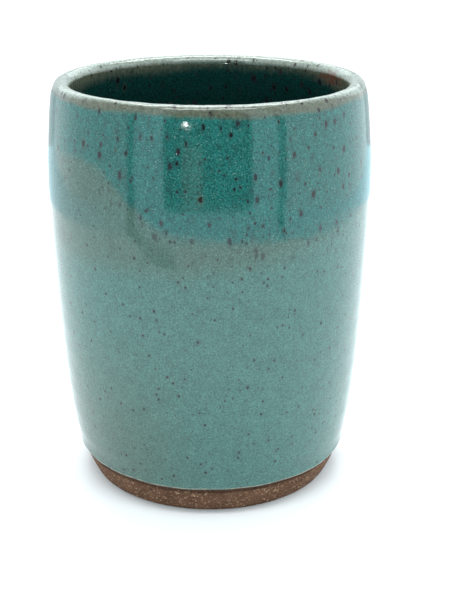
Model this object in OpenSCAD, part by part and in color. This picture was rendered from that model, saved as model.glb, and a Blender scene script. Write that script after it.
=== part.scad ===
// Stoneware brush holder pot: a wheel-thrown barrel with a bare, trimmed foot and glaze coats.
// The origin is on the table, at the middle of the foot, and +Z points up.

/* [Body] */
// Height from the table to the crest of the lip
pot_h = 114; // [106:1:122]
// Widest outside diameter of the barrel
belly_d = 89.3; // [88:0.1:96]
// Height of the widest line above the table
belly_z = 85.6; // [78:0.2:92]
// Outside diameter just under the lip
neck_d = 85.7; // [83:0.1:87]
// Diameter of the rounded crest of the lip
crest_d = 80.4; // [79:0.2:81]
// Thickness of the wall at the belly, glaze included
wall_t = 4.7; // [4:0.1:6]

/* [Foot] */
// Outside diameter of the foot where it meets the table
foot_d = 69.6; // [66:0.2:72]
// Height of the glaze line above the table
glaze_line_z = 8.2; // [6:0.1:10]
// Outside diameter of the pot at the glaze line
glaze_line_d = 77.2; // [76:0.2:78]
// Height of the shoulder, where the trimmed bevel runs into the barrel
shoulder_z = 13; // [12:0.1:16]
// Outside diameter of the barrel at the shoulder
shoulder_d = 79.1; // [78.4:0.1:81]
// Width of the ring that the pot stands on
foot_ring_w = 5; // [4:0.5:8]
// Depth of the trimmed hollow inside the foot ring
foot_hollow = 2.5; // [1.5:0.1:4]
// Thickness of the clay floor
floor_t = 7; // [5:0.5:9]

/* [Glaze] */
// Thickness of the whole glaze where both outside coats lie
glaze_t = 0.6; // [0.5:0.05:0.8]
// Thickness of the second outside coat on its own
second_coat_t = 0.2; // [0.1:0.05:0.3]
// Lowest point of the second coat's edge above the table
swag_z = 79; // [70:1:90]
// How far the swag's lowest point lies towards +X
swag_x = 15; // [-20:1:20]
// Radius of the swag that the second coat's edge hangs in
swag_r = 90; // [80:5:120]

/* [Hidden] */
$fn = 96;

// Landmarks of the glazed surface as [radius, height], in the order that the outline meets them
neck_below_crest = 3.5;
mouth_below_crest = 2.4;
mouth_inside_crest = 2.5;
inner_corner_h = 11;
inner_corner_in = 3;
floor_corner_w = 14;
floor_z = foot_hollow + floor_t + glaze_t;
line_pt = [glaze_line_d / 2, glaze_line_z];
shoulder_pt = [shoulder_d / 2, shoulder_z];
belly_pt = [belly_d / 2, belly_z];
neck_pt = [neck_d / 2, pot_h - neck_below_crest];
crest_pt = [crest_d / 2, pot_h];
mouth_pt = crest_pt - [mouth_inside_crest, mouth_below_crest];
inner_belly_pt = belly_pt - [wall_t, 0];
inner_foot_pt = shoulder_pt + [-inner_corner_in, inner_corner_h];
floor_edge_pt = [inner_foot_pt[0] - floor_corner_w, floor_z];
floor_middle_pt = [0, floor_z];

// Directions that the outline takes at its landmarks
up = [0, 1];
down = [0, -1];
inward = [-1, 0];
outward = [1, 0];
clay_line_lean = [0.3, 1];
line_lean = [0.3, 1];
shoulder_lean = [0.24, 1];
neck_lean = [-0.24, 1];
inner_foot_lean = [-0.15, -1];
ring_lean = [0.5, -1];

// One stretch of outline: a cubic curve between two points, and the number of steps it is drawn in.
// A pull is how far the curve holds to the direction at that end.
function stretch(start, start_lean, start_pull, end, end_lean, end_pull, steps) =
    [[start, start + start_pull * start_lean, end - end_pull * end_lean, end], steps];

// Neighbours share an end point and a direction there, so the whole glazed surface is smooth
bevel = stretch(line_pt, line_lean, 1.5, shoulder_pt, shoulder_lean, 1.5, 4);
barrel = stretch(shoulder_pt, shoulder_lean, 14, belly_pt, up, 15, 14);
neck = stretch(belly_pt, up, 9, neck_pt, neck_lean, 2, 8);
lip_outside = stretch(neck_pt, neck_lean, 2.1, crest_pt, inward, 1.8, 8);
lip_inside = stretch(crest_pt, inward, 1.4, mouth_pt, down, 1.3, 6);
inner_neck = stretch(mouth_pt, down, 6, inner_belly_pt, down, 12, 6);
inner_wall = stretch(inner_belly_pt, down, 28, inner_foot_pt, inner_foot_lean, 12, 8);
inner_corner = stretch(inner_foot_pt, inner_foot_lean, 10, floor_edge_pt, inward, 7, 8);
floor_line = stretch(floor_edge_pt, inward, 1, floor_middle_pt, inward, 1, 1);

outside = [bevel, barrel, neck];
lip = [lip_outside, lip_inside];
inside = [inner_neck, inner_wall, inner_corner, floor_line];

function cubic(p, t) =
    pow(1 - t, 3) * p[0] + 3 * pow(1 - t, 2) * t * p[1] + 3 * (1 - t) * t * t * p[2] + pow(t, 3) * p[3];

function cubic_direction(p, t) =
    let (d = pow(1 - t, 2) * (p[1] - p[0]) + 2 * (1 - t) * t * (p[2] - p[1]) + t * t * (p[3] - p[2]))
    d / norm(d);

// A point of one stretch, moved straight into the clay by depth
function sunk_point(p, t, depth) =
    let (d = cubic_direction(p, t)) cubic(p, t) + depth * [-d[1], d[0]];

// The points of one stretch without its last point, which the next stretch starts with
function sunk_points(s, depth) = [for (i = [0 : s[1] - 1]) sunk_point(s[0], i / s[1], depth)];

// A run of stretches as one list of points, all of it sunk into the clay by depth
function sunk_line(run, depth) = concat(
    [for (s = run) each sunk_points(s, depth)],
    [sunk_point(run[len(run) - 1][0], 1, depth)]
);

function backwards(points) = [for (i = [len(points) - 1 : -1 : 0]) points[i]];

// A coat of glaze over a run of stretches, between two depths below the finished surface
module coat(run, top_depth, bottom_depth) {
    rotate_extrude()
        polygon(concat(sunk_line(run, top_depth), backwards(sunk_line(run, bottom_depth))));
}

// Underside and bare bevel of the foot, from the middle of the hollow out to the glaze line
function foot_line() =
    let (
        edge_w = 0.6,
        slope_w = 2,
        ring_in = foot_d / 2 - foot_ring_w,
        hollow_corner = [ring_in - slope_w, foot_hollow],
        ring_start = [ring_in + edge_w, 0],
        ring_end = [foot_d / 2 - edge_w, 0],
        clay_line_pt = sunk_point(bevel[0], 0, glaze_t),
        ring_inside = stretch(hollow_corner, outward, 1, ring_start, ring_lean, 1, 4),
        foot_side = stretch(ring_end, outward, 0.9, clay_line_pt, clay_line_lean, 2.7, 8)
    )
    concat([[0, foot_hollow]], sunk_line([ring_inside], 0), sunk_points(foot_side, 0));

module clay_body() {
    color("#6f5644")
        rotate_extrude()
            polygon(concat(foot_line(), sunk_line(concat(outside, lip, inside), glaze_t)));
}

module inner_glaze() {
    color("#1d4f4b")
        coat(inside, 0, glaze_t);
}

module outer_glaze() {
    color("#62908a")
        coat(outside, second_coat_t, glaze_t);
}

// The second dip: everything above an edge that hangs in a wide swag across the front and back
module upper_glaze() {
    color("#2f7772")
        intersection() {
            coat([barrel, neck], 0, second_coat_t);
            translate([swag_x, 0, swag_z + swag_r])
                rotate([90, 0, 0])
                    cylinder(h = 2 * belly_d, r = swag_r, center = true, $fn = 180);
        }
}

module rim_glaze() {
    color("#8c9686")
        coat(lip, 0, glaze_t);
}

clay_body();
inner_glaze();
outer_glaze();
upper_glaze();
rim_glaze();
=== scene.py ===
import math

import bpy
import numpy as np
from mathutils import Matrix, Vector


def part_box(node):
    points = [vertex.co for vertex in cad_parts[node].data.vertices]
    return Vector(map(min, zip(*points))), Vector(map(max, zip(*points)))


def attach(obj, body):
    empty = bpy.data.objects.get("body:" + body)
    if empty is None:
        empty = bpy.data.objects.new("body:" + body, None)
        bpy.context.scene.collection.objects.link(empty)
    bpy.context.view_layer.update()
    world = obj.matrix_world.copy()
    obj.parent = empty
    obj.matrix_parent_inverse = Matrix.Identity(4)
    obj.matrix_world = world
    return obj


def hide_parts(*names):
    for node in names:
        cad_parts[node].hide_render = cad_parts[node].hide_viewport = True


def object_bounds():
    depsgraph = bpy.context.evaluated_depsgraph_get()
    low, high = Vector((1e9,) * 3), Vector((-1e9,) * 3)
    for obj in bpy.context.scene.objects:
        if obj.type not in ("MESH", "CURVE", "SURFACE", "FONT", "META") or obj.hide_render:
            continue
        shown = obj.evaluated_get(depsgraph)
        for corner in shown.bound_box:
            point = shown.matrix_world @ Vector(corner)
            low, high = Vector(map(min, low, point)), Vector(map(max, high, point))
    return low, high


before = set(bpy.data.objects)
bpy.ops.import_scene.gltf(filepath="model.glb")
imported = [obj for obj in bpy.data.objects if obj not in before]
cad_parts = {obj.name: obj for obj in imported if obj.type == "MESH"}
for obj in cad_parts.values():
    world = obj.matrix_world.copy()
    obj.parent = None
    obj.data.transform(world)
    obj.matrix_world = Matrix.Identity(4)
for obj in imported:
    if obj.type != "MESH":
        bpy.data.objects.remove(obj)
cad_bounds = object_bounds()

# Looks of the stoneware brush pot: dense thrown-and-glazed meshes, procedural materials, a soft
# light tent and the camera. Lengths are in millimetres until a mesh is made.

MM = 0.001
BODY = "root"
FRONT_DEG = -90.0          # the photographed side faces -Y
TURN = 2 * math.pi

# ---------------------------------------------------------------- the pot's outline, from the frame

GLAZE_T = 0.6              # glaze over clay
DIP_T = 0.04               # how far the second dip stands proud of the first
FOOT_HOLLOW = 2.5          # depth of the trimmed hollow inside the foot ring
FOOT_RING_W = 5.0          # width of the ring that the pot stands on
COLUMNS = 720              # points round the pot in a ring of the wall
LIP_COLUMNS = 900
LINER_COLUMNS = 600

POT_H = cad_bounds[1].z / MM
BELLY_R = (cad_bounds[1].y - cad_bounds[0].y) / 2 / MM
FLOOR_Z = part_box("inner_glaze")[0].z / MM + GLAZE_T

# A coat's edge is cut square to the leaning wall, so its box ends a little off the landmark
LINE_OFF, NECK_OFF = 0.06, 0.14
GLAZE_LINE_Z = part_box("outer_glaze")[0].z / MM - LINE_OFF
NECK_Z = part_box("rim_glaze")[0].z / MM + NECK_OFF

# How far inside the belly's radius the outline passes at its landmarks
FOOT_IN, LINE_IN, SHOULDER_IN, NECK_IN, CREST_IN = 9.85, 6.05, 5.1, 1.8, 4.45
WALL_T = 4.7
SHOULDER_Z = 13.0
BELLY_SHARE = 0.751        # height of the belly, as a share of the pot's
MOUTH_IN, MOUTH_BELOW = 2.5, 2.4             # the mouth's edge, from the crest
INNER_CORNER_IN, INNER_CORNER_H = 3.0, 11.0  # where the inside turns to the floor, from the shoulder
FLOOR_CORNER_W = 14.0
CLAY_LINE_IN, CLAY_LINE_UP = 0.57, 0.17      # the clay under the glaze line, square to the wall

FOOT_R = BELLY_R - FOOT_IN         # where the foot meets the table
line_pt = np.array([BELLY_R - LINE_IN, GLAZE_LINE_Z])
shoulder_pt = np.array([BELLY_R - SHOULDER_IN, SHOULDER_Z])
belly_pt = np.array([BELLY_R, BELLY_SHARE * POT_H])
neck_pt = np.array([BELLY_R - NECK_IN, NECK_Z])
crest_pt = np.array([BELLY_R - CREST_IN, POT_H])
mouth_pt = crest_pt - [MOUTH_IN, MOUTH_BELOW]
inner_belly_pt = belly_pt - [WALL_T, 0]
inner_foot_pt = shoulder_pt + [-INNER_CORNER_IN, INNER_CORNER_H]
floor_edge_pt = np.array([inner_foot_pt[0] - FLOOR_CORNER_W, FLOOR_Z])
floor_middle_pt = np.array([0.0, FLOOR_Z])
clay_line_pt = line_pt + [-CLAY_LINE_IN, CLAY_LINE_UP]

UP, DOWN, INWARD, OUTWARD = (0, 1), (0, -1), (-1, 0), (1, 0)
LINE_LEAN = (0.3, 1)
SHOULDER_LEAN = (0.24, 1)
NECK_LEAN = (-0.24, 1)
INNER_FOOT_LEAN = (-0.15, -1)
RING_LEAN = (0.5, -1)


def stretch(start, start_lean, start_pull, end, end_lean, end_pull):
    """Control points of a cubic curve. A pull is how far it holds to the direction at that end."""
    leaving = start_pull * np.array(start_lean)
    arriving = end_pull * np.array(end_lean)
    return start, start + leaving, end - arriving, end


BEVEL = stretch(line_pt, LINE_LEAN, 1.5, shoulder_pt, SHOULDER_LEAN, 1.5)
BARREL = stretch(shoulder_pt, SHOULDER_LEAN, 14, belly_pt, UP, 15)
NECK = stretch(belly_pt, UP, 9, neck_pt, NECK_LEAN, 2)
LIP_OUTSIDE = stretch(neck_pt, NECK_LEAN, 2.1, crest_pt, INWARD, 1.8)
LIP_INSIDE = stretch(crest_pt, INWARD, 1.4, mouth_pt, DOWN, 1.3)
INNER_NECK = stretch(mouth_pt, DOWN, 6, inner_belly_pt, DOWN, 12)
INNER_WALL = stretch(inner_belly_pt, DOWN, 28, inner_foot_pt, INNER_FOOT_LEAN, 12)
INNER_CORNER = stretch(inner_foot_pt, INNER_FOOT_LEAN, 10, floor_edge_pt, INWARD, 7)
FLOOR = stretch(floor_edge_pt, INWARD, 5, floor_middle_pt, INWARD, 5)


def cubic(points, t):
    """Points of a cubic curve at the values t, as an array of [radius, height]."""
    a, b, c, d = (np.asarray(p, float) for p in points)
    t = t[:, None]
    return (1 - t) ** 3 * a + 3 * (1 - t) ** 2 * t * b + 3 * (1 - t) * t * t * c + t ** 3 * d


class Outline:
    """A smooth run of cubic curves, read by the distance along it."""

    SAMPLES = 400

    def __init__(self, *curves):
        t = np.linspace(0, 1, self.SAMPLES)
        runs = [cubic(c, t) for c in curves]
        points = np.vstack([runs[0]] + [r[1:] for r in runs[1:]])
        self.r, self.z = points[:, 0], points[:, 1]
        steps = np.hypot(np.diff(self.r), np.diff(self.z))
        self.s = np.concatenate([[0], np.cumsum(steps)])
        tangent_r = np.gradient(self.r, self.s)
        tangent_z = np.gradient(self.z, self.s)
        length = np.hypot(tangent_r, tangent_z)
        self.normal_r, self.normal_z = tangent_z / length, -tangent_r / length
        self.ends = [self.s[(self.SAMPLES - 1) * (i + 1)] for i in range(len(curves))]

    def at(self, s, height=0.0):
        """Radius and height of the surface s along the outline, raised along its normal."""
        r = np.interp(s, self.s, self.r) + height * np.interp(s, self.s, self.normal_r)
        z = np.interp(s, self.s, self.z) + height * np.interp(s, self.s, self.normal_z)
        return r, z


OUTSIDE = (BEVEL, BARREL, NECK)
LIP = (LIP_OUTSIDE, LIP_INSIDE)
INSIDE = (INNER_NECK, INNER_WALL, INNER_CORNER, FLOOR)
skin = Outline(*OUTSIDE, *LIP, *INSIDE)
S_NECK, S_CREST, S_MOUTH = skin.ends[2:5]
S_END = skin.ends[-1]
S_FLOOR_MIDDLE = S_END - 0.6      # where the rings stop and a middle point closes the floor

# ---------------------------------------------------------------- shape of the surface


def ripples(x, y, z, wavelength, seed, waves=20):
    """Smooth seeded noise with a mean of 0 and a spread of about 1."""
    rng = np.random.default_rng(seed)
    total = np.zeros(np.broadcast(x, y, z).shape)
    for _ in range(waves):
        direction = rng.normal(size=3)
        direction *= TURN / wavelength * rng.uniform(0.7, 1.4) / np.linalg.norm(direction)
        phase = rng.uniform(0, TURN)
        total += np.sin(direction[0] * x + direction[1] * y + direction[2] * z + phase)
    return total / math.sqrt(waves / 2)


def smooth_step(low, high, value):
    t = np.clip((value - low) / (high - low), 0, 1)
    return t * t * (3 - 2 * t)


def bump_at(value, centre, width):
    """A bell curve that is 1 at the centre."""
    return np.exp(-((value - centre) / width) ** 2)


def from_front(phi):
    """Degrees round the pot from the photographed side, from -180 to 180, positive towards +X."""
    return (np.degrees(phi) - FRONT_DEG + 180) % 360 - 180


def away_from(phi, centre_deg):
    """Degrees round the pot from a place that is centre_deg from the front."""
    return np.abs((from_front(phi) - centre_deg + 180) % 360 - 180)


def dip_edge_z(phi):
    """Height of the second dip's lower edge: high on the left, then a swoop down to the front and
    a gentle rise towards the right."""
    lowest, left_rise, right_rise = 79.6, 19.4, 9.0
    on_left = 1 / (1 + np.exp((away_from(phi, -84) - 56) / 6))
    on_right = bump_at(away_from(phi, 100), 0, 38)
    return lowest + left_rise * on_left + right_rise * on_right + 1.0 * np.sin(3 * phi + 0.6)


def overlap_low_z(phi):
    """Height where the sage overlap of the two coats fades out below the dip's edge."""
    usual, left_drop, right_rise = 73.5, 3.0, 11.0
    on_left = bump_at(away_from(phi, -66), 0, 34)
    on_right = bump_at(away_from(phi, 70), 0, 45)
    return usual - left_drop * on_left + right_rise * on_right + 1.5 * np.sin(2 * phi + 1.0)


def line_wave(phi):
    """How far the glaze line wanders up and down, in millimetres along the wall."""
    slow = 0.16 * np.sin(2 * phi + 0.5) + 0.10 * np.sin(5 * phi + 2)
    return 0.2 + slow + 0.07 * np.sin(11 * phi) + 0.05 * np.sin(23 * phi + 1)


def place(s, phi, height, outline=skin):
    """Points in metres at s along the outline and phi round it. The lip is a little oval and uneven."""
    r, z = outline.at(s, height)
    lift = np.clip(z / POT_H, 0, 1) ** 3
    r = r * (1 + 0.0012 * lift * np.cos(2 * phi + 0.7))
    uneven = 0.06 * np.sin(phi + 2.1) + 0.04 * np.sin(3 * phi + 0.4)
    z = z + lift * (uneven - 0.10 * np.cos(phi) - 0.14)
    return np.stack([r * np.cos(phi), r * np.sin(phi), z], axis=-1) * MM


def round_columns(count):
    return np.linspace(0, TURN, count, endpoint=False)


def shown_relief(s, phi):
    """Throwing rings, slow unevenness and orange peel of the glazed skin, calmer over the lip."""
    r, z = skin.at(s)
    x, y = r * np.cos(phi), r * np.sin(phi)
    turn = phi / TURN
    lip_fade = 0.3 + 0.7 * smooth_step(2.0, 12.0, np.abs(s - S_CREST))
    low_down = 1 - 0.75 * smooth_step(45, 75, z)
    rings = 0.018 * np.sin(TURN * (z / 6.3 + turn) + 0.8 * ripples(x, y, z, 60, seed=3)) * low_down
    waves = 0.012 * ripples(x, y, z, 24, seed=5) + 0.0022 * ripples(x, y, z, 3.2, seed=7)
    inner_rings = 0.13 * np.sin(TURN * ((s - S_CREST) / 7.5 - turn))
    inner_rings = inner_rings * smooth_step(8, 28, s - S_CREST) * smooth_step(0, 14, S_END - s)
    return (rings + waves) * lip_fade + np.where(s <= S_CREST, 0, inner_rings)


def dip_height(s, phi):
    """How far the second dip stands proud: nothing at its edge, full further up, thin over the lip."""
    z = skin.at(s)[1]
    above = smooth_step(0, 9.0, z - dip_edge_z(phi))
    return DIP_T * np.where(s <= S_CREST, above, 0) * (1 - smooth_step(S_NECK - 3, S_CREST, s))


# ---------------------------------------------------------------- meshes


def build_mesh(name, rows, loop, attributes=None):
    """A closed surface from rings of points. With loop the last ring joins the first, and without
    it each end ring closes on a middle point. attributes holds one array of rows for each name."""
    rows = np.asarray(rows)
    ring_count, columns = rows.shape[:2]
    vertices = rows.reshape(-1, 3)
    column = np.arange(columns)
    following = np.roll(column, -1)
    polygons = []
    for i in range(ring_count if loop else ring_count - 1):
        a = i * columns
        b = (i + 1) % ring_count * columns
        quads = np.stack([a + column, a + following, b + following, b + column], axis=1)
        polygons += quads.tolist()
    if not loop:
        top = (ring_count - 1) * columns
        vertices = np.vstack([vertices, rows[0].mean(axis=0), rows[-1].mean(axis=0)])
        start_pole, end_pole = len(vertices) - 2, len(vertices) - 1
        polygons += [[start_pole, int(following[c]), int(c)] for c in column]
        polygons += [[end_pole, int(top + c), int(top + following[c])] for c in column]
    mesh = bpy.data.meshes.new(name)
    mesh.from_pydata(vertices.tolist(), [], polygons)
    for key, values in (attributes or {}).items():
        flat = np.asarray(values, dtype=np.float32).reshape(-1)
        if not loop:
            flat = np.concatenate([flat, flat[:1], flat[-1:]])
        mesh.attributes.new(key, "FLOAT", "POINT").data.foreach_set("value", flat)
    mesh.polygons.foreach_set("use_smooth", [True] * len(mesh.polygons))
    mesh.set_sharp_from_angle(angle=math.radians(50))
    mesh.update()
    piece = bpy.data.objects.new(name, mesh)
    bpy.context.scene.collection.objects.link(piece)
    return piece


def zones(s, phi):
    """Signed distances in millimetres that the glaze materials shade by: above the second dip's
    edge, above the overlap's fade, inside the rim band, inwards from the lip's crest (reaching
    further out on the sides, where the pale crest is a painted highlight), inside the rust stain
    and above the glaze line. The left of the lower wall, where the glaze is thinner, runs from 0 to 1."""
    z = skin.at(s)[1]
    side = from_front(phi)
    outer_w = 3.1 + 0.5 * smooth_step(0, 40, -side) + 1.1 * smooth_step(10, 50, side)
    outer_w = outer_w + 1.2 * bump_at(side, 4, 24) + 0.25 * np.sin(5 * phi + 1) + 0.15 * np.sin(13 * phi)
    inner_w = 4.6 + 0.5 * np.sin(3 * phi + 2) + 0.35 * np.sin(7 * phi)
    inner_w = inner_w + 2.2 * bump_at(np.abs(side), 102, 34)
    inner_fade = 0.35
    rust_deg, rust_half_deg, rust_below_crest, rust_half_h = 113, 15.0, 4.4, 2.2
    rust_along = away_from(phi, rust_deg) / rust_half_deg
    rust_down = np.abs(s - S_CREST - rust_below_crest) / rust_half_h
    # On the sides the pale crest reaches further down the outside of the lip: a painted highlight.
    highlight_out_on_sides = np.where(s < S_CREST, 1.4 * smooth_step(38, 75, np.abs(side)), 0)
    thin = smooth_step(5, -40, side) * smooth_step(-110, -60, side) * smooth_step(62, 15, z)
    return {
        "above_dip": z - dip_edge_z(phi),
        "above_overlap": z - overlap_low_z(phi),
        "in_rim": np.minimum(s - S_CREST + outer_w, inner_fade * (inner_w - (s - S_CREST))),
        "from_crest": s - S_CREST + highlight_out_on_sides,
        "in_rust": 1 - np.hypot(rust_along, rust_down),
        "above_line": s - line_wave(phi),
        "thin": thin,
    }


def coat(name, start, end, rows, top, back_depth, crowd=1.0, columns=COLUMNS, back_rows=14):
    """A closed coat between two edges on the skin. start and end are distances along the skin for
    each column, top gives the height of the shown face, and crowd above 1 packs rows at the start."""
    phi = round_columns(columns)[None, :]
    start = np.broadcast_to(start, (columns,))
    end = np.broadcast_to(end, (columns,))
    share = (np.linspace(0, 1, rows) ** crowd)[:, None]
    back_share = np.linspace(1, 0, back_rows)[:, None]
    s_top = start + share * (end - start)
    s_back = start + back_share * (end - start)
    phi_top = np.broadcast_to(phi, s_top.shape)
    phi_back = np.broadcast_to(phi, s_back.shape)
    shown = place(s_top, phi_top, top(s_top, phi_top))
    back = place(s_back, phi_back, np.full(s_back.shape, -back_depth))
    shading = zones(np.vstack([s_top, s_back]), np.vstack([phi_top, phi_back]))
    return build_mesh(name, np.concatenate([shown, back]), True, shading)


def make_first_coat():
    """The first outside coat, with a rounded, slightly proud roll where it stops above the foot."""
    roll_w = 0.55
    roll_h = 0.14

    def top(s, phi):
        into = s - line_wave(phi)
        edge = np.sqrt(np.clip(1 - (1 - np.clip(into / roll_w, 0, 1)) ** 2, 0, 1))
        roll = roll_h * bump_at(into, 0.9, 0.8)
        return shown_relief(s, phi) * smooth_step(0, 3, into) + GLAZE_T * (edge - 1) + roll * edge

    start = line_wave(round_columns(COLUMNS))
    return coat("first_coat", start, S_NECK, 240, top, back_depth=GLAZE_T, crowd=1.18)


def make_second_dip():
    """The second dip, from its swooping edge up to the rim band."""
    proud, back_depth = 0.012, 0.15      # proud of the first coat, so that the faces never coincide
    edge = dip_edge_z(round_columns(COLUMNS))
    wall = skin.s < S_NECK
    start = np.interp(edge, skin.z[wall], skin.s[wall])

    def top(s, phi):
        return shown_relief(s, phi) + dip_height(s, phi) + proud

    return coat("second_dip", start, S_NECK, 90, top, back_depth, back_rows=8)


def make_lip_glaze():
    """The thin coat over the lip, uneven where it has run off the edge."""

    def top(s, phi):
        r, z = skin.at(s)
        x, y = r * np.cos(phi), r * np.sin(phi)
        joint = smooth_step(0, 1.2, s - S_NECK) * smooth_step(0, 1.2, S_MOUTH - s)
        wrinkle = 0.022 * ripples(x, y, z, 5.5, seed=11) + 0.007 * ripples(x, y, z, 1.7, seed=13)
        return shown_relief(s, phi) + dip_height(s, phi) + wrinkle * joint

    return coat("lip_glaze", S_NECK, S_MOUTH, 60, top, GLAZE_T, columns=LIP_COLUMNS, back_rows=10)


def make_liner():
    """The liner coat: from the middle of the floor up to the lip, and back down behind it."""
    phi = round_columns(LINER_COLUMNS)[None, :]
    s_top = np.linspace(S_FLOOR_MIDDLE, S_MOUTH, 250)[:, None] + 0 * phi
    s_back = np.linspace(S_MOUTH, S_FLOOR_MIDDLE, 40)[:, None] + 0 * phi
    phi_top = phi + 0 * s_top
    phi_back = phi + 0 * s_back
    shown = place(s_top, phi_top, shown_relief(s_top, phi_top))
    back = place(s_back, phi_back, np.full(s_back.shape, -GLAZE_T))
    shading = zones(np.vstack([s_top, s_back]), np.vstack([phi_top, phi_back]))
    return build_mesh("liner", np.concatenate([shown, back]), False, shading)


def foot_outline():
    """Underside of the foot: a shallow hollow, the ring that stands on the table, the bare bevel."""
    edge_w = 0.6
    ring_in = FOOT_R - FOOT_RING_W
    hollow_edge = np.array([ring_in - 2, FOOT_HOLLOW])
    ring_start = np.array([ring_in + edge_w, 0.0])
    ring_end = np.array([FOOT_R - edge_w - 0.2, 0.0])
    hollow_middle = np.array([0.6, FOOT_HOLLOW])
    return Outline(
        stretch(hollow_middle, (1, 0.02), 10, hollow_edge, (1, -0.02), 10),
        stretch(hollow_edge, OUTWARD, 1, ring_start, RING_LEAN, 1),
        stretch(ring_start, OUTWARD, 1, ring_end, OUTWARD, 1),
        stretch(ring_end, OUTWARD, 1.1, clay_line_pt, (0.3, 1), 2.7),
    )


def make_clay():
    """The clay: hollow and ring of the foot, the bare bevel, then the wall under the glaze."""
    phi = round_columns(COLUMNS)[None, :]
    foot = foot_outline()
    hollow_end, _, bevel_start, bevel_end = foot.ends
    steps = np.concatenate([
        np.linspace(0, hollow_end, 40, endpoint=False),
        np.linspace(hollow_end, bevel_start, 40, endpoint=False),
        np.linspace(bevel_start, bevel_end, 90),
    ])
    s = steps[:, None] + 0 * phi
    around = phi + 0 * s
    r, z = foot.at(s)
    x, y = r * np.cos(around), r * np.sin(around)
    below_glaze = bevel_end - s
    grit = 0.012 * ripples(x, y, z, 1.5, seed=21) + 0.016 * ripples(x, y, z, 6.0, seed=23)
    trim_lines = 0.014 * np.sin(TURN * (s / 0.85 + 0.6 * ripples(x, y, z, 30, seed=25)))
    bare = smooth_step(hollow_end, bevel_start, s)
    at_front = smooth_step(75, 30, away_from(around, 0))
    groove = 0.26 * bump_at(below_glaze, 0.9, 0.45) * (0.5 + 0.5 * at_front)
    relief = (grit + trim_lines) * (0.4 + 0.6 * bare) - groove
    foot_rows = place(s, around, relief * smooth_step(0, 0.4, below_glaze + 0.1), foot)
    foot_rows[..., 2] = np.maximum(foot_rows[..., 2], 0)
    wall = np.concatenate([np.linspace(0.3, S_CREST, 40), np.linspace(S_CREST, S_FLOOR_MIDDLE, 50)[1:]])
    s_wall = wall[:, None] + 0 * phi
    from_glaze = np.concatenate([below_glaze, 0 * s_wall])
    wall_rows = place(s_wall, phi + 0 * s_wall, np.full(s_wall.shape, -GLAZE_T))
    rows = np.concatenate([foot_rows, wall_rows])
    return build_mesh("thrown_clay", rows, False, {"below_glaze": from_glaze})


# ---------------------------------------------------------------- materials


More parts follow.
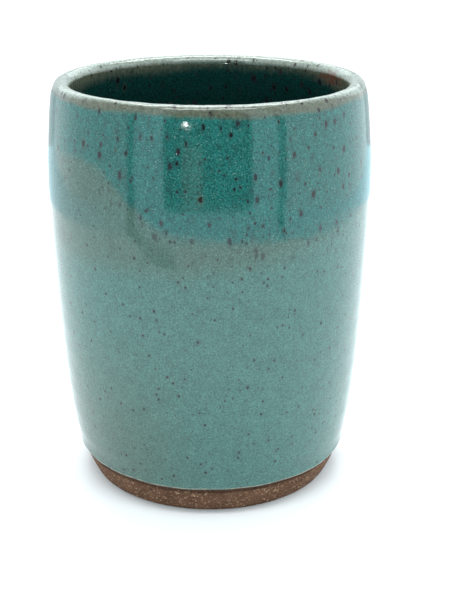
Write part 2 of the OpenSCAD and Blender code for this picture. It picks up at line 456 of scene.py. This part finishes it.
class Shader:
    """A Principled material with short calls for adding and joining nodes."""

    def __init__(self, name, **settings):
        self.material = bpy.data.materials.new(name)
        self.material.use_nodes = True
        self.tree = self.material.node_tree
        self.bsdf = self.tree.nodes["Principled BSDF"]
        for socket, value in settings.items():
            self.put(self.bsdf, socket.replace("_", " "), value)

    def put(self, node, socket, value):
        """Sets an input to a value, or joins it to an output socket."""
        target = node.inputs[socket]
        if isinstance(value, bpy.types.NodeSocket):
            self.tree.links.new(value, target)
        else:
            target.default_value = value

    def add(self, kind, inputs=None, **settings):
        node = self.tree.nodes.new("ShaderNode" + kind)
        for key, value in settings.items():
            setattr(node, key, value)
        for socket, value in (inputs or {}).items():
            self.put(node, socket, value)
        return node

    def math(self, operation, *values):
        return self.add("Math", dict(enumerate(values)), operation=operation).outputs[0]

    def step(self, value, low, high, out_low=0.0, out_high=1.0):
        """A smooth step of value from low to high."""
        inputs = {"Value": value, "From Min": low, "From Max": high, "To Min": out_low, "To Max": out_high}
        return self.add("MapRange", inputs, interpolation_type="SMOOTHSTEP").outputs[0]

    def mix(self, factor, a, b, blend="MIX"):
        """Mixes two colours."""
        node = self.add("Mix", data_type="RGBA", blend_type=blend)
        for index, value in ((0, factor), (6, a), (7, b)):
            self.put(node, index, value)
        return node.outputs[2]

    def cover(self, colour, share, paint, strength=1.0):
        """Lays paint over colour where share is 1, at most at the given strength."""
        return self.mix(self.math("MULTIPLY", share, strength), colour, paint)

    def ragged(self, name, noise, amount):
        """A stored distance made uneven by noise, up to about a quarter of the amount each way."""
        return self.math("MULTIPLY_ADD", self.math("SUBTRACT", noise, 0.5), amount, self.attribute(name))

    def tint(self, colour, value):
        """Multiplies a colour by a number."""
        return self.mix(1.0, colour, value, "MULTIPLY")

    def attribute(self, name):
        return self.add("Attribute", attribute_name=name).outputs["Fac"]

    def place(self, stretch=(1, 1, 1), shift=0.0):
        """Object coordinates in millimetres, stretched, and shifted so that patterns differ."""
        where = self.add("TexCoord").outputs["Object"]
        scale = [1 / (MM * s) for s in stretch]
        return self.add("Mapping", {"Vector": where, "Scale": scale, "Location": (shift,) * 3}).outputs[0]

    def noise(self, size, where=None, detail=2.0, rough=0.5):
        """Noise whose blobs are about size millimetres across, mostly between 0.3 and 0.7."""
        inputs = {"Vector": where or self.place(), "Scale": 1 / size, "Detail": detail, "Roughness": rough}
        return self.add("TexNoise", inputs).outputs[0]

    def warped(self, stretch, shift, amount=0.55):
        """Coordinates with a fine wobble, so that grains are not round."""
        wobble = self.add("TexNoise", {"Vector": self.place(), "Scale": 1.6, "Detail": 2.0}).outputs["Color"]
        wobble = self.add("VectorMath", {0: wobble, 1: (0.5,) * 3}, operation="SUBTRACT").outputs[0]
        wobble = self.add("VectorMath", {0: wobble, "Scale": amount}, operation="SCALE").outputs[0]
        where = self.place(stretch, shift)
        return self.add("VectorMath", {0: where, 1: wobble}, operation="ADD").outputs[0]

    def specks(self, cell, radius, share, where):
        """Scattered grains, small ones most often: how deep inside a grain a point is, 0 outside to
        1 in its core, the same for the halo round it, and a random number for each grain."""
        grains = self.add("TexVoronoi", {"Vector": where, "Scale": 1 / cell}, feature="F1")
        split = self.add("SeparateColor", {"Color": grains.outputs["Color"]})
        chosen = self.math("LESS_THAN", split.outputs[0], share)
        rarely = self.math("POWER", split.outputs[1], 1.6)
        size = self.math("MULTIPLY_ADD", rarely, 0.70 * radius / cell, 0.35 * radius / cell)
        depth = self.math("DIVIDE", grains.outputs["Distance"], size)
        core = self.math("MULTIPLY", self.step(depth, 1.0, 0.7), chosen)
        halo = self.math("MULTIPLY", self.step(depth, 2.0, 0.9), chosen)
        return core, halo, split.outputs[2]

    def bump(self, height, distance, normal=None):
        inputs = {"Height": height, "Distance": distance * MM}
        if normal is not None:
            inputs["Normal"] = normal
        return self.add("Bump", inputs).outputs[0]


LOWER_TEAL = (0.058, 0.156, 0.133, 1)
DEEP_TEAL = (0.016, 0.116, 0.101, 1)
SAGE = (0.066, 0.127, 0.102, 1)
OLIVE = (0.125, 0.132, 0.090, 1)
OLIVE_SHADE = (0.072, 0.084, 0.058, 1)
# Pale crest: partly the glaze breaking thin over the lip, partly a painted highlight where the lip faces the
# lamps.
CREST_BREAK_AND_HIGHLIGHT = (0.222, 0.262, 0.218, 1)
# The liner's teal is darkened far below the outside glaze's: painted shade inside the pot.
LINER_TEAL_WITH_PAINTED_SHADE = (0.004, 0.034, 0.029, 1)
RUST = (0.125, 0.046, 0.026, 1)
IRON_BLACK = (0.008, 0.004, 0.006, 1)
IRON_MAUVE = (0.024, 0.017, 0.024, 1)
PALE_FLECK = (0.250, 0.370, 0.335, 1)
EDGE_FLECK = (0.320, 0.330, 0.265, 1)
CLAY_DARK = (0.118, 0.058, 0.034, 1)
CLAY_TOASTED = (0.165, 0.086, 0.052, 1)
# Darkened clay just under the glaze line: painted shadow below the glaze's roll.
CLAY_PAINTED_SHADOW = (0.045, 0.024, 0.016, 1)
GROG_ORANGE = (0.300, 0.165, 0.080, 1)
GROG_TAN = (0.440, 0.310, 0.200, 1)
GROG_BLACK = (0.020, 0.016, 0.018, 1)


def glaze_colour(shade, liner):
    """Colour of the glaze before the specks: dips, overlap, rim break, a pale crest that is partly
    glaze break and partly painted highlight, rust and mottling; in the liner, a teal darkened as
    painted shade. Also returns how far inside the rim band and above the dip's edge a point is."""
    wander = shade.math("SUBTRACT", shade.noise(5.0, detail=4.0), 0.5)
    fine = shade.math("SUBTRACT", shade.noise(0.9), 0.5)
    blur = shade.math("MULTIPLY_ADD", fine, 2.0, shade.math("MULTIPLY", wander, 4.0))
    above_dip = shade.math("ADD", shade.attribute("above_dip"), blur)
    above_overlap = shade.math("ADD", shade.attribute("above_overlap"), blur)
    if liner:
        # Painted shade: the inside of the pot gets a much darker teal than the outside.
        base = LINER_TEAL_WITH_PAINTED_SHADE
    else:
        sage = shade.math("MAXIMUM", shade.step(above_overlap, -5.0, 4.0), shade.attribute("thin"))
        base = shade.mix(sage, LOWER_TEAL, SAGE)
        base = shade.mix(shade.step(above_dip, -1.4, 2.0), base, DEEP_TEAL)
    base = shade.tint(base, shade.step(shade.noise(3.2, detail=5.0, rough=0.62), 0.25, 0.75, 0.90, 1.10))
    grain = shade.step(above_dip, -8.0, 4.0, 0.32, 0.50)
    grain = shade.math("MULTIPLY", grain, shade.step(shade.noise(0.42), 0.25, 0.75, -1.0, 1.0))
    base = shade.tint(base, shade.math("ADD", grain, 1.0))
    streaks = shade.noise(0.9, shade.place(stretch=(1, 1, 1.8)), detail=4.0)
    in_rim = shade.step(shade.ragged("in_rim", streaks, 1.1), -0.7, 0.9)
    olive = shade.mix(shade.step(shade.noise(0.7, detail=3.0), 0.3, 0.7), OLIVE, OLIVE_SHADE)
    base = shade.mix(in_rim, base, olive)
    # The pale band over the crest is partly glaze break and partly a painted highlight.
    from_crest = shade.ragged("from_crest", streaks, 1.6)
    on_crest = shade.math("MULTIPLY", shade.step(from_crest, -1.9, -1.0), shade.step(from_crest, 3.6, 2.6))
    pale = shade.tint(CREST_BREAK_AND_HIGHLIGHT, shade.step(shade.noise(0.8, detail=4.0), 0.3, 0.7, 0.72, 1.15))
    base = shade.mix(on_crest, base, pale)
    rust_streaks = shade.noise(1.1, shade.place(stretch=(2.2, 2.2, 0.8)), detail=4.0)
    in_rust = shade.step(shade.ragged("in_rust", rust_streaks, 2.6), -0.2, 0.9)
    return shade.cover(base, in_rust, RUST, 0.85), in_rim, above_dip


def frost_and_dust(shade, colour, above_dip, liner):
    """Lays pale frost, stronger in the upper glaze and faint in the liner, and fine dark dust."""
    frost = shade.step(shade.noise(0.32, shade.place(shift=83.0), detail=1.0), 0.62, 0.76)
    frost_strength = 0.06 if liner else shade.step(above_dip, -18.0, -6.0, 0.38, 0.60)
    colour = shade.cover(colour, frost, PALE_FLECK, frost_strength)
    dust = shade.specks(cell=0.95, radius=0.20, share=0.55, where=shade.place(shift=29.0))[0]
    return shade.cover(colour, dust, IRON_MAUVE, 0.65)


def iron_specks(shade, colour, above_dip):
    """Lays the iron specks: dots all over, and larger ones that have run in the upper glaze. Also
    returns how deep inside a speck a point is."""
    dot_place = shade.warped((1, 1, 1.2), 47.0, 0.3)
    dot_core, dot_halo, dot_random = shade.specks(cell=1.8, radius=0.40, share=0.75, where=dot_place)
    colour = shade.cover(colour, dot_halo, IRON_MAUVE, 0.22)
    colour = shade.cover(colour, dot_core, shade.mix(dot_random, IRON_MAUVE, IRON_BLACK), 0.95)
    upper = shade.step(above_dip, -12.0, 5.0)
    run_place = shade.warped((1, 1, 1.7), 11.0)
    run_core, run_halo, run_random = shade.specks(cell=2.1, radius=0.66, share=0.72, where=run_place)
    run_core = shade.math("MULTIPLY", run_core, upper)
    run_halo = shade.math("MULTIPLY", run_halo, upper)
    halo_colour = shade.mix(shade.step(run_random, 0.80, 0.90), IRON_MAUVE, OLIVE_SHADE)
    colour = shade.cover(colour, run_halo, halo_colour, 0.32)
    run_colour = shade.mix(shade.step(run_random, 0.1, 0.4), IRON_MAUVE, IRON_BLACK)
    colour = shade.cover(colour, run_core, run_colour, 0.92)
    return colour, shade.math("MAXIMUM", run_core, dot_core)


def glaze_material(name, liner=False):
    """Glossy speckled glaze over an iron-rich clay."""
    shade = Shader(name, IOR=1.52, Roughness=0.09)
    colour, in_rim, above_dip = glaze_colour(shade, liner)
    colour = frost_and_dust(shade, colour, above_dip, liner)
    colour, pits = iron_specks(shade, colour, above_dip)
    if not liner:
        at_line = shade.step(shade.attribute("above_line"), 0.95, 0.6)
        broken = shade.step(shade.noise(2.5), 0.35, 0.6, 0.3, 0.9)
        colour = shade.mix(shade.math("MULTIPLY", at_line, broken), colour, EDGE_FLECK)
    shade.put(shade.bsdf, "Base Color", colour)

    rough = shade.step(shade.noise(2.2, detail=4.0), 0.3, 0.7, 0.06, 0.12)
    rough = shade.math("MULTIPLY_ADD", pits, 0.03, rough)
    rough = shade.math("MULTIPLY_ADD", in_rim, 0.05, rough)
    shade.put(shade.bsdf, "Roughness", rough)

    peel = shade.bump(shade.noise(0.55, detail=3.0, rough=0.6), 0.008)
    swell = shade.bump(shade.noise(2.6), 0.010, normal=peel)
    shade.put(shade.bsdf, "Normal", shade.bump(pits, -0.012, normal=swell))
    return shade.material


def clay_material():
    """Bare speckled stoneware: toasted brown clay with tan, orange and black grog, and a painted
    shadow just under the glaze line.
    """
    shade = Shader("bare_clay", IOR=1.45, Roughness=0.9)
    shade.put(shade.bsdf, "Specular IOR Level", 0.15)
    fine = shade.noise(0.6, detail=4.0, rough=0.65)
    lines = shade.noise(1.1, shade.place(stretch=(9, 9, 0.45)), detail=3.0)
    toasted = shade.step(shade.noise(7.0, detail=4.0), 0.3, 0.7)
    colour = shade.mix(toasted, CLAY_DARK, CLAY_TOASTED)
    colour = shade.tint(colour, shade.step(fine, 0.25, 0.75, 0.60, 1.35))
    colour = shade.tint(colour, shade.step(lines, 0.3, 0.7, 0.86, 1.12))
    tan_place = shade.warped((1, 1, 1), 5.0, 0.3)
    tan, _, tan_random = shade.specks(cell=0.72, radius=0.39, share=0.95, where=tan_place)
    clusters = shade.step(shade.noise(5.0, shade.place(shift=37.0), detail=3.0), 0.35, 0.60, 0.45, 1.0)
    tan = shade.math("MULTIPLY", tan, clusters)
    tan_colour = shade.mix(tan_random, GROG_ORANGE, GROG_TAN)
    colour = shade.cover(colour, tan, tan_colour, 0.95)
    black_place = shade.place((1.3, 1.3, 0.9), 61.0)
    black = shade.specks(cell=2.4, radius=0.55, share=0.45, where=black_place)[0]
    colour = shade.cover(colour, black, GROG_BLACK, 0.85)
    # A painted shadow on the clay just under the glaze line, in the groove below the glaze's roll.
    shadow_under_glaze_roll = shade.step(shade.ragged("below_glaze", fine, 0.8), 1.9, 1.2)
    colour = shade.cover(colour, shadow_under_glaze_roll, CLAY_PAINTED_SHADOW, 0.70)
    shade.put(shade.bsdf, "Base Color", colour)
    shade.put(shade.bsdf, "Roughness", shade.step(fine, 0.3, 0.7, 0.8, 1.0))
    tooth = shade.bump(fine, 0.10)
    grog = shade.bump(tan, 0.05, normal=tooth)
    shade.put(shade.bsdf, "Normal", shade.bump(lines, 0.05, normal=grog))
    return shade.material


# ---------------------------------------------------------------- floor, tent light and camera

CLOTH = (0.66, 0.90, 1.0)
CLOTH_PALE = (0.86, 0.95, 1.0)
WHITE = (1.0, 1.0, 1.0)
WARM = (1.0, 0.55, 0.42)
FRONT, BACK, LEFT, RIGHT, HIGH = -300.0, 420.0, -392.0, 330.0, 520.0
SKIRT_MIDDLE = (5.0, 20.0)          # the bright part of the floor is a disc round this place
SKIRT_R = 290.0
SEAMS_DEG = (-140.5, -46.5)         # directions of the open front corners from there
CORNER_GAP = 32.0                   # width of the open front corners


def card(name, corners, colour, strength):
    """A flat glowing sheet that lights the pot and shows in its gloss, but not to the camera."""
    mesh = bpy.data.meshes.new(name)
    mesh.from_pydata([Vector(c) * MM for c in corners], [], [list(range(len(corners)))])
    sheet = bpy.data.objects.new(name, mesh)
    bpy.context.scene.collection.objects.link(sheet)
    material = bpy.data.materials.new(name)
    material.use_nodes = True
    tree = material.node_tree
    tree.nodes.remove(tree.nodes["Principled BSDF"])
    glow = tree.nodes.new("ShaderNodeEmission")
    glow.inputs["Color"].default_value = (*colour, 1)
    glow.inputs["Strength"].default_value = strength
    tree.links.new(glow.outputs[0], tree.nodes["Material Output"].inputs["Surface"])
    mesh.materials.append(material)
    sheet.visible_camera = False
    return sheet


def upright(name, start, end, z0, z1, colour, strength):
    """A standing card between two points on the floor plan."""
    corners = [(*start, z0), (*end, z0), (*end, z1), (*start, z1)]
    card(name, corners, colour, strength)


def overhead(name, x0, x1, y0, y1, z, colour, strength):
    """A level card that faces down."""
    card(name, [(x0, y0, z), (x1, y0, z), (x1, y1, z), (x0, y1, z)], colour, strength)


def side_wall(name, x, near_glow, far_glow):
    """A side of the tent, brighter towards the back, as standing strips."""
    strips = 10
    edges = np.linspace(FRONT + CORNER_GAP, BACK, strips + 1).tolist()
    for i in range(strips):
        middle = (edges[i] + edges[i + 1]) / 2
        glow = near_glow + (far_glow - near_glow) * float(smooth_step(0, 220, middle))
        upright(f"{name}_{i}", (x, edges[i]), (x, edges[i + 1]), 0, HIGH, CLOTH_PALE, glow)


def to_wall(angle):
    """Distance over the floor from the middle of the bright disc to the tent's wall."""
    across, along = math.cos(angle), math.sin(angle)
    reach_x = ((RIGHT if across > 0 else LEFT) - SKIRT_MIDDLE[0]) / across
    reach_y = ((BACK if along > 0 else FRONT) - SKIRT_MIDDLE[1]) / along
    return min(reach_x, reach_y)


def skirt(name, start_deg, end_deg, strength):
    """The foot of the tent's cloth, curved out over the floor between two directions. Only the
    gloss of the pot sees it."""
    angles = np.radians(np.linspace(start_deg, end_deg, 20)).tolist()
    inner = [(SKIRT_R, angle) for angle in angles]
    outer = [(to_wall(angle), angle) for angle in reversed(angles)]
    corners = [
        (SKIRT_MIDDLE[0] + radius * math.cos(angle), SKIRT_MIDDLE[1] + radius * math.sin(angle), 0.5)
        for radius, angle in inner + outer
    ]
    sheet = card(name, corners, CLOTH, strength)
    sheet.visible_diffuse = False
    sheet.visible_shadow = False


def skirt_all_round(front_glow):
    """The skirt in front, the dark seams at its ends, and sectors that run round the back."""
    seam_half_deg, seam_glow = 2.3, 0.1
    back_glow, right_glow, left_glow = 0.9, 2.05, 1.65
    skirt("skirt_front", SEAMS_DEG[0] + seam_half_deg, SEAMS_DEG[1] - seam_half_deg, front_glow)
    for name, seam_deg in zip(("skirt_seam_left", "skirt_seam_right"), SEAMS_DEG):
        skirt(name, seam_deg - seam_half_deg, seam_deg + seam_half_deg, seam_glow)
    dim_floor_strip()
    sectors = np.linspace(SEAMS_DEG[1] + seam_half_deg, SEAMS_DEG[0] + 360 - seam_half_deg, 25).tolist()
    for i, (start, end) in enumerate(zip(sectors, sectors[1:])):
        from_back = (start + end) / 2 - 90
        side_glow = right_glow if from_back < 0 else left_glow
        to_side = float(smooth_step(8, 40, abs(from_back)))
        skirt(f"skirt_round_{i}", start, end, back_glow + (side_glow - back_glow) * to_side)


def dim_floor_strip():
    """A dim strip over the floor that runs on from the left seam, darker than the floor round it. Only the
    gloss of the pot sees it.
    """
    path = np.array([(-236, -186), (-205, -184), (-178, -186), (-150, -197), (-118, -211), (-88, -219)])
    half_w, glow = 11.0, 0.35
    along = np.gradient(path, axis=0)
    along = along / np.hypot(along[:, 0], along[:, 1])[:, None]
    across = np.stack([-along[:, 1], along[:, 0]], axis=1) * half_w
    edge = np.vstack([path + across, (path - across)[::-1]])
    sheet = card("dim_floor_strip", [(x, y, 0.8) for x, y in edge.tolist()], CLOTH, glow)
    sheet.visible_diffuse = False
    sheet.visible_shadow = False


def sill(left, right, middle_z, strength):
    """The cloth below the camera's opening, with a slightly arched top edge and rounded corners."""
    arch_drop, arch_half_w, corner_rise, corner_w = 6, 125, 12, 20
    x = np.linspace(left, right, 41)
    from_end = np.minimum(x - left, right - x)
    corner = corner_rise * np.clip(1 - from_end / corner_w, 0, 1) ** 2
    z = middle_z - arch_drop * (x / arch_half_w) ** 2 + corner
    arch = [(across, FRONT, up) for across, up in zip(x.tolist(), z.tolist())]
    card("tent_front_sill", [(left, FRONT, 0), *arch, (right, FRONT, 0)], CLOTH, strength)


def make_floor():
    """The pale sheet that the pot stands on, which ends at the tent's walls."""
    inside = 2.0
    left, right, near, far = LEFT + inside, RIGHT - inside, FRONT + inside, BACK - inside
    mesh = bpy.data.meshes.new("floor")
    corners = [(left, near, 0), (right, near, 0), (right, far, 0), (left, far, 0)]
    mesh.from_pydata([Vector(c) * MM for c in corners], [], [[0, 1, 2, 3]])
    floor = bpy.data.objects.new("floor", mesh)
    bpy.context.scene.collection.objects.link(floor)
    shade = Shader("floor_sheet", Roughness=0.9)
    shade.put(shade.bsdf, "Base Color", (0.84, 0.86, 0.87, 1))
    shade.put(shade.bsdf, "Emission Color", (1, 1, 1, 1))
    shade.put(shade.bsdf, "Emission Strength", 0.08)
    shade.put(shade.bsdf, "Specular IOR Level", 0.1)
    mesh.materials.append(shade.material)


def make_tent():
    """Glowing cloth walls with an opening for the camera, open front corners and lamps on top."""
    hole_left, hole_right, hole_low, hole_high = -172.0, 153.0, 28.0, 330.0
    front_glow, head_glow, back_glow, back_top_glow = 1.75, 0.8, 1.0, 2.6
    left_glow, left_far_glow, right_glow, right_far_glow = 1.25, 1.75, 1.75, 1.95
    roof_glow, lamp_glow = 1.6, 12.0
    back_split_z = 240
    lamp_half, lamp_z = 260.0, 640.0
    corner_left, corner_right = (LEFT + CORNER_GAP, FRONT), (RIGHT - CORNER_GAP, FRONT)
    upright("tent_front_left", corner_left, (hole_left, FRONT), 0, HIGH, CLOTH, front_glow)
    upright("tent_front_right", (hole_right, FRONT), corner_right, 0, HIGH, CLOTH, front_glow)
    sill(hole_left, hole_right, hole_low, front_glow)
    upright("tent_front_head", (hole_left, FRONT), (hole_right, FRONT), hole_high, HIGH, CLOTH, head_glow)
    side_wall("tent_left", LEFT, left_glow, left_far_glow)
    side_wall("tent_right", RIGHT, right_glow, right_far_glow)
    upright("tent_back", (LEFT, BACK), (RIGHT, BACK), 0, back_split_z, CLOTH_PALE, back_glow)
    upright("tent_back_top", (LEFT, BACK), (RIGHT, BACK), back_split_z, HIGH, CLOTH_PALE, back_top_glow)
    skirt_all_round(front_glow)
    overhead("tent_roof", LEFT, RIGHT, FRONT, BACK, lamp_z + 20, CLOTH_PALE, roof_glow)
    overhead("lamp_front", -lamp_half, lamp_half, -290, -170, lamp_z, WHITE, lamp_glow)
    overhead("lamp_back", -lamp_half, lamp_half, 210, 400, lamp_z, WHITE, lamp_glow)
    upright("room_behind_camera", (-500, -520), (500, -520), -50, 600, WHITE, 0.02)
    upright("hand_at_camera", (-100, -315), (-24, -315), 26, 96, WARM, 0.5)
    upright("small_lamp", (-90, -330), (-86, -330), 137, 165, WHITE, 240.0)


def make_world():
    """White to the camera, and a dim even glow for everything else."""
    world = bpy.data.worlds.new("studio")
    bpy.context.scene.world = world
    world.use_nodes = True
    tree = world.node_tree
    seen = tree.nodes["Background"]
    seen.inputs["Color"].default_value = (1, 1, 1, 1)
    seen.inputs["Strength"].default_value = 1.4
    glow = tree.nodes.new("ShaderNodeBackground")
    glow.inputs["Color"].default_value = (0.85, 0.97, 1, 1)
    glow.inputs["Strength"].default_value = 0.25
    path = tree.nodes.new("ShaderNodeLightPath")
    mixer = tree.nodes.new("ShaderNodeMixShader")
    tree.links.new(path.outputs["Is Camera Ray"], mixer.inputs[0])
    tree.links.new(glow.outputs[0], mixer.inputs[1])
    tree.links.new(seen.outputs[0], mixer.inputs[2])
    tree.links.new(mixer.outputs[0], tree.nodes["World Output"].inputs["Surface"])


def make_camera():
    """The photograph's view: close, a little above the rim, with the pot left of the middle."""
    distance, height, sensor_w, lens = 329.7, 169.9, 36, 72.63
    down, aside, roll = math.radians(20.082), math.radians(0.720), math.radians(-0.153)
    forward = Vector((math.sin(aside) * math.cos(down), math.cos(aside) * math.cos(down), -math.sin(down)))
    level_right = Vector((math.cos(aside), -math.sin(aside), 0))
    level_up = level_right.cross(forward)
    right = math.cos(roll) * level_right + math.sin(roll) * level_up
    up = -math.sin(roll) * level_right + math.cos(roll) * level_up
    data = bpy.data.cameras.new("camera")
    data.sensor_width = sensor_w
    data.lens = lens
    data.clip_start = 0.01
    camera = bpy.data.objects.new("camera", data)
    bpy.context.scene.collection.objects.link(camera)
    turn = Matrix((right, up, -forward)).transposed().to_4x4()
    camera.matrix_world = Matrix.Translation(Vector((0, -distance, height)) * MM) @ turn
    bpy.context.scene.camera = camera


# ---------------------------------------------------------------- put together


def finish_piece(piece, node, material):
    """Gives a piece its material, hangs it on its body and hides the CAD node that it stands for."""
    piece.data.materials.append(material)
    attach(piece, BODY)
    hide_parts(node)


outside_glaze = glaze_material("outside_glaze")
finish_piece(make_clay(), "clay_body", clay_material())
finish_piece(make_first_coat(), "outer_glaze", outside_glaze)
finish_piece(make_second_dip(), "upper_glaze", outside_glaze)
finish_piece(make_lip_glaze(), "rim_glaze", outside_glaze)
finish_piece(make_liner(), "inner_glaze", glaze_material("inside_glaze", liner=True))

make_floor()
make_tent()
make_world()
make_camera()
bpy.context.scene.view_settings.view_transform = "Standard"
